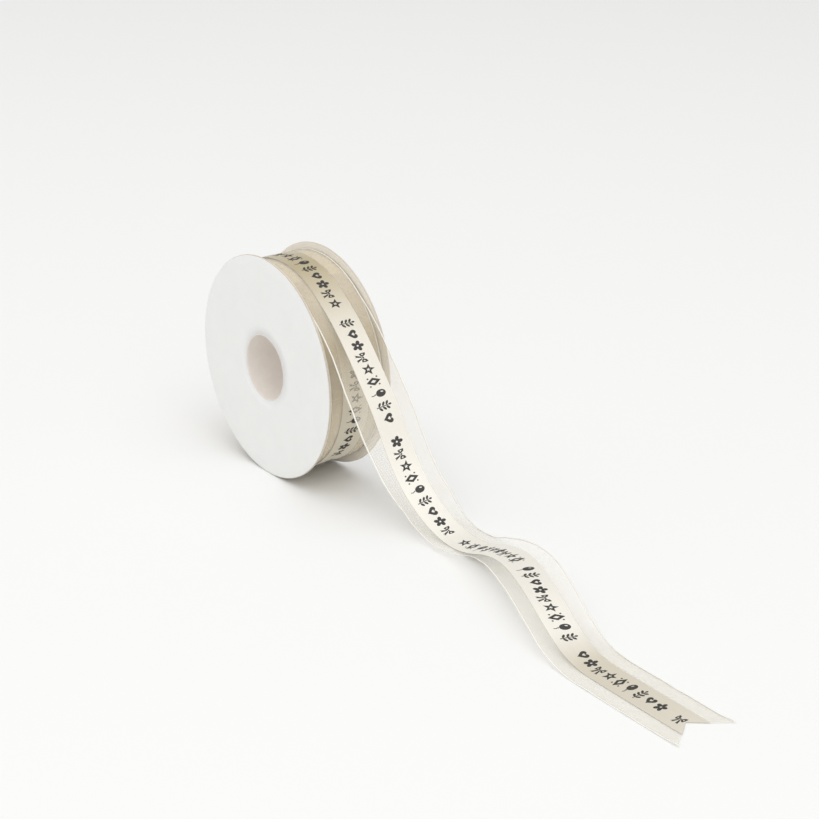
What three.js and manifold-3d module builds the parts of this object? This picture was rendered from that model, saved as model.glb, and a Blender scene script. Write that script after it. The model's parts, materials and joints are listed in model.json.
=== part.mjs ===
// Gift ribbon on a paperboard spool, with a length of ribbon drawn off it along the table.
// Millimetres. +Y is the spool's axis, +Z is up and +X is the way the drawn ribbon runs.
// The origin is on the table, under the middle of the spool, which stands on its two rims.
import * as THREE from 'three';
import { mergeVertices } from 'three/addons/utils/BufferGeometryUtils.js';
import Module from 'manifold-3d';

const wasm = await Module();
wasm.setup();

// Driving dimensions
const RIBBON_WIDTH = 25;
const FLANGE_RADIUS = 45;
const BORE_RADIUS = 13;
const SIDE_PLAY = 0.6; // between the ribbon's selvedge and a flange
const BOARD_THICKNESS = 0.8;
const FACING_THICKNESS = 0.2;
const FACING_SETBACK = 0.2; // the die rounds the facing's edge back from the board's
const LINER_WALL = 0.5;
const TUBE_WALL = 1.5;
const TAPE_THICKNESS = 0.15;
const TAPE_WIDTH = 19;
const TAPE_FACETS = 9;
const WOUND_RADIUS = 42.3;
const TAIL_THICKNESS = 0.5;
const TAIL_CLEARANCE = 0.35; // between the wound ribbon and the drawn one over it
const NOTCH_DEPTH = 10;
const FACETS = 72; // round a full turn

const INNER_FACE = RIBBON_WIDTH / 2 + SIDE_PLAY;
const BOARD_INNER = INNER_FACE + FACING_THICKNESS;
const BOARD_OUTER = BOARD_INNER + BOARD_THICKNESS;
const OUTER_FACE = BOARD_OUTER + FACING_THICKNESS;
const TUBE_INNER = BORE_RADIUS + LINER_WALL;
const TUBE_OUTER = TUBE_INNER + TUBE_WALL;
const TAPE_INNER = TUBE_OUTER + 0.03; // clears the corners of the faceted tube
const WOUND_INNER = TAPE_INNER + TAPE_THICKNESS + 0.05;
const HALF_FACET = Math.PI / FACETS;

const boardGrey = new THREE.MeshStandardMaterial({ color: 0xb7b1a6, roughness: 0.9 });
const facingWhite = new THREE.MeshStandardMaterial({ color: 0xf1f1ef, roughness: 0.7 });
const tubeKraft = new THREE.MeshStandardMaterial({ color: 0xb9a58a, roughness: 0.9 });
const linerPaper = new THREE.MeshStandardMaterial({ color: 0xd6cfc5, roughness: 0.8 });
const glueAmber = new THREE.MeshStandardMaterial({ color: 0xe6dcc0, roughness: 0.4 });
const tapeClear = new THREE.MeshStandardMaterial({ color: 0xe9e6dc, roughness: 0.25 });
const woundCream = new THREE.MeshStandardMaterial({ color: 0xddd2bd, roughness: 0.5 });
const tailCream = new THREE.MeshStandardMaterial({ color: 0xf0ece0, roughness: 0.5 });

const model = new THREE.Group();
const spool = new THREE.Group();
spool.position.z = FLANGE_RADIUS;
model.add(spool);

function addPiece(parent, name, geometry, material) {
  const mesh = new THREE.Mesh(geometry, material);
  mesh.name = name;
  parent.add(mesh);
  return mesh;
}

// A round's corners stand just outside its radius, so that its flats lie on it and the rims rest
// on a flat.
function corner(radius) {
  return radius / Math.cos(HALF_FACET);
}

// The profile is a list of [radius, y], anticlockwise, closed here.
function turned(profile) {
  const points = profile.map(([radius, y]) => new THREE.Vector2(corner(radius), y));
  points.push(points[0].clone());
  return new THREE.LatheGeometry(points, FACETS, HALF_FACET);
}

function ring(innerRadius, outerRadius, fromY, toY) {
  return turned([[innerRadius, fromY], [outerRadius, fromY], [outerRadius, toY], [innerRadius, toY]]);
}

// Flanges: a greyboard disc with a white paper facing on each side
const facingRadius = FLANGE_RADIUS - FACING_SETBACK;
for (const [name, side] of [['near', -1], ['far', 1]]) {
  const disc = (radius, from, to) => ring(
    TUBE_INNER, radius, Math.min(side * from, side * to), Math.max(side * from, side * to));
  addPiece(spool, `${name}_flange_board`, disc(FLANGE_RADIUS, BOARD_INNER, BOARD_OUTER), boardGrey);
  addPiece(spool, `${name}_outer_facing`, disc(facingRadius, BOARD_OUTER, OUTER_FACE), facingWhite);
  addPiece(spool, `${name}_inner_facing`, disc(facingRadius, INNER_FACE, BOARD_INNER), facingWhite);
}

// Core: a paper tube between the flanges, on an inner ply that runs on through both of them
addPiece(spool, 'core_tube', ring(TUBE_INNER, TUBE_OUTER, -INNER_FACE, INNER_FACE), tubeKraft);
addPiece(spool, 'core_liner', ring(BORE_RADIUS, TUBE_INNER, -OUTER_FACE, OUTER_FACE), linerPaper);

// A bead of hot-melt glue in the corner between the tube and each flange
const BEAD_LEG = 1.2;
const BEAD_HEIGHT = 0.5;
for (const [name, side] of [['near', -1], ['far', 1]]) {
  const section = [
    [TUBE_OUTER, side * (INNER_FACE - BEAD_HEIGHT)],
    [TUBE_OUTER + BEAD_LEG, side * INNER_FACE],
    [TUBE_OUTER, side * INNER_FACE],
  ];
  addPiece(spool, `${name}_glue_bead`, turned(side > 0 ? section : section.reverse()), glueAmber);
}

// The tape that holds the ribbon's inner end on the tube, a part of a ring over the core's top
function tapePatch() {
  const corners = [];
  for (let facet = 0; facet <= TAPE_FACETS; facet += 1) {
    const angle = Math.PI / 2 + (2 * facet - TAPE_FACETS) * HALF_FACET;
    corners.push(new THREE.Vector2(Math.cos(angle), Math.sin(angle)));
  }
  const outside = corners.map((way) => way.clone().multiplyScalar(corner(TAPE_INNER + TAPE_THICKNESS)));
  const inside = corners.map((way) => way.clone().multiplyScalar(corner(TAPE_INNER)));
  const patch = new THREE.ExtrudeGeometry(
    new THREE.Shape([...outside, ...inside.reverse()]), { depth: TAPE_WIDTH, bevelEnabled: false });
  patch.rotateX(Math.PI / 2);
  patch.translate(0, TAPE_WIDTH / 2, 0);
  return patch;
}
addPiece(spool, 'start_tape', tapePatch(), tapeClear);

// The wound ribbon, as one ring: its turns lie too close to be told apart
addPiece(
  spool, 'wound_ribbon',
  ring(WOUND_INNER, WOUND_RADIUS, -RIBBON_WIDTH / 2, RIBBON_WIDTH / 2), woundCream);

// The drawn ribbon leaves the roll before its front, curves down to the table, rises in one low
// wave and lies flat to its swallowtail end. Its route is [along, sideways, height] of the
// ribbon's middle, from LEAVE_ANGLE on the roll.
const LEAVE_ANGLE = THREE.MathUtils.degToRad(52);
const leaveRadius = WOUND_RADIUS + TAIL_CLEARANCE + TAIL_THICKNESS / 2;
const LYING = TAIL_THICKNESS / 2;
const route = [
  [leaveRadius * Math.cos(LEAVE_ANGLE), 0, FLANGE_RADIUS + leaveRadius * Math.sin(LEAVE_ANGLE)],
  [35.5, 0, 71.6],
  [44.5, 0, 62.8],
  [52.2, 0.5, 53.2],
  [58.4, 1.7, 43.2],
  [63, 2.9, 33.2],
  [67.6, 4, 23.6],
  [73.6, 5.3, 14.8],
  [81.5, 6.9, 7.2],
  [90.5, 8.3, 2],
  [100, 9, LYING],
  [110, 8.5, 2.3],
  [121, 7, 6.6],
  [134, 3.8, 10],
  [148, -0.9, 11.2],
  [162, -5.8, 10],
  [175, -9.7, 6.6],
  [187, -12.3, 2.5],
  [199, -13.6, LYING],
  [215, -13.9, LYING],
  [235, -14, LYING],
  [254, -14, LYING],
].map(([along, sideways, height]) => new THREE.Vector3(along, sideways, height));
const TAIL_STEPS = 72;

function ribbonTail() {
  const middle = new THREE.CatmullRomCurve3(route, false, 'centripetal').getSpacedPoints(TAIL_STEPS);
  middle.forEach((point) => { point.z = Math.max(point.z, LYING); });
  const edge = (side) => middle.map((point, step) => {
    const before = middle[Math.max(step - 1, 0)];
    const after = middle[Math.min(step + 1, TAIL_STEPS)];
    const run = new THREE.Vector2(after.x - before.x, after.z - before.z).normalize();
    return new THREE.Vector2(point.x - side * LYING * run.y, point.z + side * LYING * run.x);
  });
  const top = edge(1);
  const underside = edge(-1);
  const strip = new THREE.ExtrudeGeometry(
    new THREE.Shape([...top, ...underside.reverse()]), { depth: RIBBON_WIDTH, bevelEnabled: false });
  strip.rotateX(Math.PI / 2);
  strip.translate(0, RIBBON_WIDTH / 2, 0);

  // carries each point sideways by what the route does at that distance along
  const place = strip.attributes.position;
  for (let i = 0; i < place.count; i += 1) {
    const along = place.getX(i);
    let step = 1;
    while (step < TAIL_STEPS && middle[step].x < along) step += 1;
    const from = middle[step - 1];
    const to = middle[step];
    const share = THREE.MathUtils.clamp((along - from.x) / (to.x - from.x), 0, 1);
    place.setY(i, place.getY(i) + THREE.MathUtils.lerp(from.y, to.y, share));
  }
  return strip;
}

// The swallowtail's notch, a wedge that stands through the ribbon's end
function notchWedge() {
  const end = route[route.length - 1];
  const overrun = 2;
  const halfWidth = (RIBBON_WIDTH / 2) * (1 + overrun / NOTCH_DEPTH);
  const wedge = new THREE.ExtrudeGeometry(
    new THREE.Shape([
      new THREE.Vector2(end.x - NOTCH_DEPTH, end.y),
      new THREE.Vector2(end.x + overrun, end.y - halfWidth),
      new THREE.Vector2(end.x + overrun, end.y + halfWidth),
    ]), { depth: 4 * TAIL_THICKNESS, bevelEnabled: false });
  wedge.translate(0, 0, -TAIL_THICKNESS);
  return wedge;
}

function toSolid(geometry) {
  const bare = geometry.clone();
  bare.deleteAttribute('normal');
  bare.deleteAttribute('uv');
  const merged = mergeVertices(bare);
  const triangles = merged.index.array;
  return new wasm.Manifold(new wasm.Mesh({
    numProp: 3,
    vertProperties: new Float32Array(merged.attributes.position.array),
    triVerts: new Uint32Array(triangles),
  }));
}

function toGeometry(solid) {
  const { vertProperties, triVerts } = solid.getMesh();
  const geometry = new THREE.BufferGeometry();
  geometry.setAttribute('position', new THREE.BufferAttribute(vertProperties, 3));
  geometry.setIndex(new THREE.BufferAttribute(triVerts, 1));
  geometry.computeVertexNormals();
  return geometry;
}

const cutTail = toSolid(ribbonTail()).subtract(toSolid(notchWedge()));
addPiece(model, 'ribbon_tail', toGeometry(cutTail), tailCream);

export default model;
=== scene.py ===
# %% [markdown]
# # A spool of printed gift ribbon
# The real object is a small gift-wrapping spool. Two round greyboard flanges, faced with white
# paper, are glued to a short paper tube, and sheer ribbon with a satin stripe is wound between
# them. The free end comes over the top, leaves the roll before its front, runs down to the
# table, rises in one low wave and lies flat to its swallowtail cut.
#
# Everything is in metres, in the same frame as the CAD model: +Y is the spool's axis, +Z is up,
# and the ribbon runs off towards +X.

import json
import math

import bmesh
import bpy
import numpy as np
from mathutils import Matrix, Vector

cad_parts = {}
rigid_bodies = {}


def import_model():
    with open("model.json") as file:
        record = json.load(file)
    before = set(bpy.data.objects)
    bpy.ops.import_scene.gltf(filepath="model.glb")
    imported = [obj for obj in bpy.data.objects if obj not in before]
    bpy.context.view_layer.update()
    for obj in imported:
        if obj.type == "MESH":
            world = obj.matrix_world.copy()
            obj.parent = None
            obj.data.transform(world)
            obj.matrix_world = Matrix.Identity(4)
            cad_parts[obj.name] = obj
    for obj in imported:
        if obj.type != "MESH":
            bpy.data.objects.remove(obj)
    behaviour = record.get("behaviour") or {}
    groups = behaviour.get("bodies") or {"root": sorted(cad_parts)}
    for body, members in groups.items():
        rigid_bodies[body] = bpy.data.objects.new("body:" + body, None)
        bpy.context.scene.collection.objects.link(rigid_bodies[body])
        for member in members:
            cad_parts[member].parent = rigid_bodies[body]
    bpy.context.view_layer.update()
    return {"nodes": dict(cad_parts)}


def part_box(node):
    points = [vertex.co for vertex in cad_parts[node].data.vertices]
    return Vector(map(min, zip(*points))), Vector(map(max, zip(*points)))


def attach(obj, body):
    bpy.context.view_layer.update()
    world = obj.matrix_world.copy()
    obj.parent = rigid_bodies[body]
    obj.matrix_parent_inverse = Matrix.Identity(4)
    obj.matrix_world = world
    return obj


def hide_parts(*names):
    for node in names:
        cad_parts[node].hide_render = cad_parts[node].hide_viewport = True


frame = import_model()

# %% [markdown]
# ## Sizes
# Places and sizes come from the CAD nodes' boxes, so the looks can't drift away from the part.
# Only what is too thin or too fine for the CAD gets a size of its own here.

# %% Sizes from the CAD nodes
MM = 0.001


def ring_sizes(node):
    """The outer radius of a round CAD node, and its two ends along the spool's axis."""
    low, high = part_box(node)
    return (high.z - low.z) / 2, low.y, high.y


flange_radius = ring_sizes("near_flange_board")[0]
axis_height = sum(corner.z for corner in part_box("near_flange_board")) / 2
wound_radius, wound_near, wound_far = ring_sizes("wound_ribbon")
ribbon_width = wound_far - wound_near
half_width = ribbon_width / 2
print(f"flange {2 * flange_radius / MM:.1f} mm, ribbon {ribbon_width / MM:.1f} mm wide")

# %% [markdown]
# ## The camera
# A long lens from a little above the table keeps the two flanges nearly the same size. The
# camera comes first, because a free length of ribbon has to lie inside its view.

# %% Camera
VIEW_AZIMUTH = math.radians(53.71)
VIEW_ELEVATION = math.radians(22.3)
VIEW_DISTANCE = 0.872
aim = Vector((0.03284, 0.03208, 0.02676))

away = Vector((
    math.sin(VIEW_AZIMUTH) * math.cos(VIEW_ELEVATION),
    -math.cos(VIEW_AZIMUTH) * math.cos(VIEW_ELEVATION),
    math.sin(VIEW_ELEVATION),
))
camera = bpy.data.objects.new("camera", bpy.data.cameras.new("camera"))
bpy.context.scene.collection.objects.link(camera)
camera.data.sensor_width = 36.0
camera.data.lens = 96.7
camera.data.clip_start = 0.05
camera.location = aim + VIEW_DISTANCE * away
camera.rotation_euler = away.to_track_quat("Z", "Y").to_euler()
bpy.context.scene.camera = camera
print("camera at", [round(v, 3) for v in camera.location])

# %% [markdown]
# ## Helpers
# Colours are written as the sRGB hex values that a colour picker shows, and turned to the linear
# values that the shaders use. One function adds a node to any tree, with its settings and links.
# Inputs go by name, or by number where a node has several of the same name: a Mix node's factor
# is 0, its two colours are 6 and 7, and the mixed colour is its output 2.

# %% Helpers for colours and nodes
def linear(hex_colour):
    """The linear RGBA of an sRGB hex colour."""
    channels = [int(hex_colour[i:i + 2], 16) / 255 for i in (1, 3, 5)]
    return (*(c / 12.92 if c <= 0.04045 else ((c + 0.055) / 1.055) ** 2.4 for c in channels), 1.0)


def add_node(tree, kind, inputs=None, **settings):
    """Adds a node. Each input is a value, or the socket that it is linked to."""
    node = tree.nodes.new(kind)
    for name, value in settings.items():
        setattr(node, name, value)
    for name, value in (inputs or {}).items():
        if isinstance(value, bpy.types.NodeSocket):
            tree.links.new(value, node.inputs[name])
        else:
            node.inputs[name].default_value = value
    return node


def new_material(name):
    """An empty material, and its tree."""
    material = bpy.data.materials.new(name)
    material.use_nodes = True
    material.node_tree.nodes.clear()
    return material, material.node_tree


# %% Helpers for meshes
def piece_from(name, points, faces, uvs=None):
    """A smooth object at the origin. The UV map "lay" gives metres along and across it."""
    mesh = bpy.data.meshes.new(name)
    mesh.from_pydata(np.asarray(points, dtype=float).tolist(), [], faces)
    mesh.polygons.foreach_set("use_smooth", [True] * len(mesh.polygons))
    if uvs is not None:
        layer = mesh.uv_layers.new(name="lay")
        layer.data.foreach_set("uv", np.asarray(uvs, dtype=float).ravel())
    piece = bpy.data.objects.new(name, mesh)
    bpy.context.scene.collection.objects.link(piece)
    return piece


def settle(piece):
    """Turns a piece's evaluated shape into its plain mesh, and removes its modifiers."""
    graph = bpy.context.evaluated_depsgraph_get()
    mesh = bpy.data.meshes.new_from_object(piece.evaluated_get(graph))
    mesh.name = piece.name
    piece.modifiers.clear()
    piece.data = mesh
    print(f"{piece.name}: {len(mesh.polygons)} faces")
    return piece


# %% [markdown]
# ## The ribbon's route
# On the real spool the outermost turn and the free tail are one length of ribbon, so one route carries
# both. It starts just under the place where the ribbon leaves the roll, goes once round as a slow spiral,
# so that it passes under its own end, and then runs down to the table. The tail's points are the CAD
# model's. A centripetal Catmull-Rom curve goes through them, because it never loops or overshoots between
# points that are unevenly far apart.

# %% Route points
LEAVE_ANGLE = 52  # degrees above the spool's front, where the ribbon leaves the roll
UNDERLAP = 20  # degrees of the turn that lie under its own end
TURN_START_RADIUS = wound_radius - 0.25 * MM
TURN_RISE = 0.36 * MM  # what one turn adds to the roll's radius
TURN_SINK = 0.6 * MM  # how deep the turn's first end lies among the turns below
LYING = 0.25 * MM  # the height of the middle of a ribbon that lies on the table
TAIL_POINTS = [
    (0.0355, 0.0, 0.0716), (0.0445, 0.0, 0.0628), (0.0522, 0.0005, 0.0532),
    (0.0584, 0.0017, 0.0432), (0.063, 0.0029, 0.0332), (0.0676, 0.004, 0.0236),
    (0.0736, 0.0053, 0.0148), (0.0815, 0.0069, 0.0072), (0.0905, 0.0083, 0.002),
    (0.1, 0.009, LYING), (0.11, 0.0085, 0.0023), (0.121, 0.007, 0.0066),
    (0.134, 0.0038, 0.01), (0.148, -0.0009, 0.0112), (0.162, -0.0058, 0.01),
    (0.175, -0.0097, 0.0066), (0.187, -0.0123, 0.0025), (0.199, -0.0136, LYING),
    (0.215, -0.0139, LYING), (0.235, -0.014, LYING), (0.254, -0.014, LYING),
]


def on_turn(angle):
    """A point of the outermost turn. The angle, in degrees, falls along the ribbon."""
    turned = LEAVE_ANGLE + 360 + UNDERLAP - angle
    radius = TURN_START_RADIUS + TURN_RISE * turned / 360
    radius -= TURN_SINK * max(0, 1 - turned / UNDERLAP) ** 2
    radians = math.radians(angle)
    return radius * math.cos(radians), 0.0, axis_height + radius * math.sin(radians)


def catmull_rom(points, steps):
    """Points of a centripetal Catmull-Rom curve, with so many steps to a span."""
    p = np.array(points)
    p = np.vstack([2 * p[0] - p[1], p, 2 * p[-1] - p[-2]])
    curve = []
    for i in range(len(p) - 3):
        gaps = np.linalg.norm(np.diff(p[i:i + 4], axis=0), axis=1) ** 0.5
        knots = np.concatenate([[0], np.cumsum(gaps)])
        for t in np.linspace(knots[1], knots[2], steps, endpoint=False):
            level = list(p[i:i + 4])
            for spans in (((0, 1), (1, 2), (2, 3)), ((0, 2), (1, 3)), ((1, 2),)):
                level = [
                    ((knots[b] - t) * level[k] + (t - knots[a]) * level[k + 1]) / (knots[b] - knots[a])
                    for k, (a, b) in enumerate(spans)
                ]
            curve.append(level[0])
    return np.vstack([*curve, p[-2]])


def lengths_along(points):
    """The distance from the first point to each point, along the line."""
    return np.concatenate([[0], np.linalg.norm(np.diff(points, axis=0), axis=1).cumsum()])


def even_points(points, spacing):
    """The same line in equal steps of about the given length."""
    lengths = lengths_along(points)
    stations = np.linspace(0, lengths[-1], round(lengths[-1] / spacing) + 1)
    return np.column_stack([np.interp(stations, lengths, points[:, axis]) for axis in range(3)])


# %% [markdown]
# Cloth doesn't change its bend at a point, so the tail's points are averaged with their
# neighbours a few times. The turn on the roll is left out of that, or it would shrink. No part
# of the line may sink below the height of a ribbon that lies on the table.

# %% Route
ROUTE_STEP = 0.8 * MM
TURN_ANGLE_STEP = 4  # degrees between the points of the turn
SPAN_STEPS = 16  # the curve's points between two given ones
SOFTEN_PASSES = 40
SOFTEN_OVER = 12 * MM  # the length after the roll in which the averaging grows to its full share

first_angle = LEAVE_ANGLE + 360 + UNDERLAP
turn = [on_turn(angle) for angle in range(first_angle, LEAVE_ANGLE - 1, -TURN_ANGLE_STEP)]
route = even_points(catmull_rom(turn + TAIL_POINTS, SPAN_STEPS), ROUTE_STEP)
turn_length = lengths_along(catmull_rom(turn, SPAN_STEPS))[-1]
share = np.clip((lengths_along(route) - turn_length) / SOFTEN_OVER, 0, 1)[1:-1, None]
for _ in range(SOFTEN_PASSES):
    route[1:-1] += share * ((route[:-2] + 2 * route[1:-1] + route[2:]) / 4 - route[1:-1])
route[:, 2] = np.maximum(route[:, 2], LYING)
tail_length = lengths_along(route)[-1] - turn_length
print(f"one turn {turn_length / MM:.0f} mm, free tail {tail_length / MM:.0f} mm")

route_data = bpy.data.curves.new("ribbon_route", "CURVE")
route_data.dimensions = "3D"
route_spline = route_data.splines.new("POLY")
route_spline.points.add(len(route) - 1)
route_spline.points.foreach_set("co", np.column_stack([route, np.ones(len(route))]).ravel())
route_object = bpy.data.objects.new("ribbon_route", route_data)
bpy.context.scene.collection.objects.link(route_object)

# %% [markdown]
# ## Laying flat things on the route
# A ribbon is easiest to make flat, where its cut, its weave and its print are simple. This
# Geometry Nodes group then lays anything flat on the route: X becomes the distance along it, Y
# the distance across it and Z the height above it. The direction across is the spool's axis,
# made square to the line, so that the ribbon never twists. A Curve modifier could do nearly the
# same, but it turns the section round the line wherever the line drifts sideways.

# %% Node group that lays geometry on the route
def new_geometry_tree(name, inputs):
    """A Geometry Nodes tree with named inputs, and its input node."""
    tree = bpy.data.node_groups.new(name, "GeometryNodeTree")
    tree.interface.new_socket("Geometry", in_out="OUTPUT", socket_type="NodeSocketGeometry")
    tree.interface.new_socket("Geometry", in_out="INPUT", socket_type="NodeSocketGeometry")
    for label, kind in inputs.items():
        tree.interface.new_socket(label, in_out="INPUT", socket_type="NodeSocket" + kind)
    return tree, add_node(tree, "NodeGroupInput").outputs


def run_tree(piece, tree, values):
    """Adds a Geometry Nodes modifier, with its inputs set by their identifiers."""
    modifier = piece.modifiers.new(tree.name, "NODES")
    modifier.node_group = tree
    for socket in tree.interface.items_tree:
        if socket.in_out == "INPUT" and socket.name in values:
            modifier[socket.identifier] = values[socket.name]


lay_tree, given = new_geometry_tree("lay_on_route", {"Route": "Object", "Start": "Float"})
route_curve = add_node(lay_tree, "GeometryNodeObjectInfo", {"Object": given["Route"]})
flat = add_node(lay_tree, "ShaderNodeSeparateXYZ", {
    "Vector": add_node(lay_tree, "GeometryNodeInputPosition").outputs[0]}).outputs
station = add_node(lay_tree, "ShaderNodeMath", {0: flat["X"], 1: given["Start"]}, operation="ADD")
sample = add_node(lay_tree, "GeometryNodeSampleCurve", {
    "Curves": route_curve.outputs["Geometry"], "Length": station.outputs[0]}, mode="LENGTH")
slant = add_node(lay_tree, "ShaderNodeVectorMath", {
    0: sample.outputs["Tangent"], 1: (0.0, 1.0, 0.0)}, operation="DOT_PRODUCT")
drift = add_node(lay_tree, "ShaderNodeVectorMath", {
    0: sample.outputs["Tangent"], "Scale": slant.outputs["Value"]}, operation="SCALE")
square = add_node(lay_tree, "ShaderNodeVectorMath", {
    0: (0.0, 1.0, 0.0), 1: drift.outputs[0]}, operation="SUBTRACT")
across = add_node(lay_tree, "ShaderNodeVectorMath", {0: square.outputs[0]}, operation="NORMALIZE")
above = add_node(lay_tree, "ShaderNodeVectorMath", {
    0: sample.outputs["Tangent"], 1: across.outputs[0]}, operation="CROSS_PRODUCT")
sideways = add_node(lay_tree, "ShaderNodeVectorMath", {
    0: across.outputs[0], "Scale": flat["Y"]}, operation="SCALE")
raised = add_node(lay_tree, "ShaderNodeVectorMath", {
    0: above.outputs[0], "Scale": flat["Z"]}, operation="SCALE")
with_side = add_node(lay_tree, "ShaderNodeVectorMath", {
    0: sample.outputs["Position"], 1: sideways.outputs[0]}, operation="ADD")
with_rise = add_node(lay_tree, "ShaderNodeVectorMath", {
    0: with_side.outputs[0], 1: raised.outputs[0]}, operation="ADD")
moved = add_node(lay_tree, "GeometryNodeSetPosition", {
    "Geometry": given["Geometry"], "Position": with_rise.outputs[0]})
add_node(lay_tree, "NodeGroupOutput", {"Geometry": moved.outputs[0]})
print("lay_on_route has", len(lay_tree.nodes), "nodes")

# %% [markdown]
# ## Ribbon materials
# The ribbon is polyester, woven in one piece. The middle is a warp-faced satin: most of its
# threads float along the ribbon, so it is opaque, and its sheen spreads across them. The side
# bands are organza, an open plain weave of fine hard yarn that is mostly holes. The selvedges
# are a few heavier threads packed together. Real organza yarns lie about 0.15 mm apart and satin
# floats about 0.05 mm, which no picture of the whole spool can hold, so they are drawn 0.45 mm
# and 0.4 mm apart. All of them read the ribbon's own UV map, so the threads follow every bend.

# %% Threads
ORGANZA_PITCH = 0.45 * MM
SATIN_PITCH = 0.4 * MM
SELVEDGE_TWIST = 0.6 * MM


def threads(tree, vector, axis, pitch):
    """A wave from 0 between threads to 1 on each thread, counted along one axis."""
    place = add_node(tree, "ShaderNodeSeparateXYZ", {"Vector": vector}).outputs[axis]
    angle = add_node(tree, "ShaderNodeMath", {0: place, 1: 2 * math.pi / pitch}, operation="MULTIPLY")
    wave = add_node(tree, "ShaderNodeMath", {0: angle.outputs[0]}, operation="SINE")
    return add_node(tree, "ShaderNodeMath", {0: wave.outputs[0], 1: 0.5, 2: 0.5},
                    operation="MULTIPLY_ADD").outputs[0]


def plain_weave(tree, vector):
    """Organza's two sets of yarns, one over the other."""
    return add_node(tree, "ShaderNodeMath", {
        0: threads(tree, vector, "X", ORGANZA_PITCH), 1: threads(tree, vector, "Y", ORGANZA_PITCH)},
        operation="MAXIMUM").outputs[0]


# %% Organza
def organza_material():
    """Sheer polyester organza: pale crossing yarns with open holes, so what is under it shows.

    The attribute "tan" gives it the tint of the many layers beneath it on the roll, and a painted tan
    light from the roll where the tail hangs in front of it. Where "solid" is 1 it has no holes.
    """
    material, tree = new_material("polyester_organza")
    uv = add_node(tree, "ShaderNodeUVMap", uv_map="lay").outputs["UV"]
    yarn = plain_weave(tree, uv)
    cover = add_node(tree, "ShaderNodeMapRange", {
        "Value": yarn, "From Min": 0.3, "From Max": 0.95, "To Min": 0.08, "To Max": 0.32})
    uneven = add_node(tree, "ShaderNodeTexNoise", {"Vector": uv, "Scale": 90.0, "Detail": 3.0})
    relief = add_node(tree, "ShaderNodeBump", {
        "Height": yarn, "Strength": 0.3, "Distance": 0.05 * MM})
    tan = add_node(tree, "ShaderNodeAttribute", attribute_name="tan").outputs["Fac"]
    solid = add_node(tree, "ShaderNodeAttribute", attribute_name="solid").outputs["Fac"]
    opacity = add_node(tree, "ShaderNodeMath", {0: cover.outputs[0], 1: solid}, operation="MAXIMUM")
    clear, backed = (
        add_node(tree, "ShaderNodeMix", {
            0: uneven.outputs["Fac"], 6: linear(deep), 7: linear(pale)}, data_type="RGBA").outputs[2]
        for deep, pale in (("#F8F2E3", "#FFFDF6"), ("#BEAD8C", "#D4C5A8")))
    # tan mixes in the layers' tint on the roll, and a painted tan light from the roll where the tail hangs
    # in front of it
    shade = add_node(tree, "ShaderNodeMix", {0: tan, 6: clear, 7: backed}, data_type="RGBA")
    cloth = add_node(tree, "ShaderNodeBsdfPrincipled", {
        "Base Color": shade.outputs[2], "Roughness": 0.45, "IOR": 1.6, "Alpha": opacity.outputs[0],
        "Sheen Weight": 0.2, "Sheen Roughness": 0.4, "Normal": relief.outputs[0]})
    add_node(tree, "ShaderNodeOutputMaterial", {"Surface": cloth.outputs[0]})
    return material


organza = organza_material()
print(organza.name)


# %% Satin
def satin_material():
    """Polyester satin: beige, with painted light from a point attribute that makes it pale cream where
    light would shine through it and where its sheen would show; real sheen on top.
    """
    material, tree = new_material("polyester_satin")
    uv = add_node(tree, "ShaderNodeUVMap", uv_map="lay").outputs["UV"]
    ivory = add_node(tree, "ShaderNodeAttribute", attribute_name="ivory").outputs["Fac"]
    drawn_out = add_node(tree, "ShaderNodeMapping", {"Vector": uv, "Scale": (50.0, 2200.0, 1.0)})
    streaks = add_node(tree, "ShaderNodeTexNoise", {
        "Vector": drawn_out.outputs[0], "Scale": 1.0, "Detail": 2.0})
    relief = add_node(tree, "ShaderNodeBump", {
        "Height": threads(tree, uv, "Y", SATIN_PITCH), "Strength": 0.25, "Distance": 0.04 * MM})
    along = add_node(tree, "ShaderNodeTangent", direction_type="UV_MAP", uv_map="lay")
    backed, painted_backlit_colour = (
        add_node(tree, "ShaderNodeMix", {
            0: streaks.outputs["Fac"], 6: linear(deep), 7: linear(pale)}, data_type="RGBA").outputs[2]
        for deep, pale in (("#AB9B74", "#BAAB85"), ("#E8E3D7", "#F0ECE2")))
    # painted light: the attribute lifts the satin from beige to pale cream where light would shine through
    # it and where its sheen would show
    shade = add_node(tree, "ShaderNodeMix", {0: ivory, 6: backed, 7: painted_backlit_colour}, data_type="RGBA")
    cloth = add_node(tree, "ShaderNodeBsdfPrincipled", {
        "Base Color": shade.outputs[2], "Roughness": 0.45, "IOR": 1.64,
        "Specular IOR Level": 1.0, "Anisotropic": 0.5, "Anisotropic Rotation": 0.25,
        "Sheen Weight": 0.2, "Sheen Roughness": 0.35,
        "Normal": relief.outputs[0], "Tangent": along.outputs[0]})
    add_node(tree, "ShaderNodeOutputMaterial", {"Surface": cloth.outputs[0]})
    return material


satin = satin_material()
print(satin.name)


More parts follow.
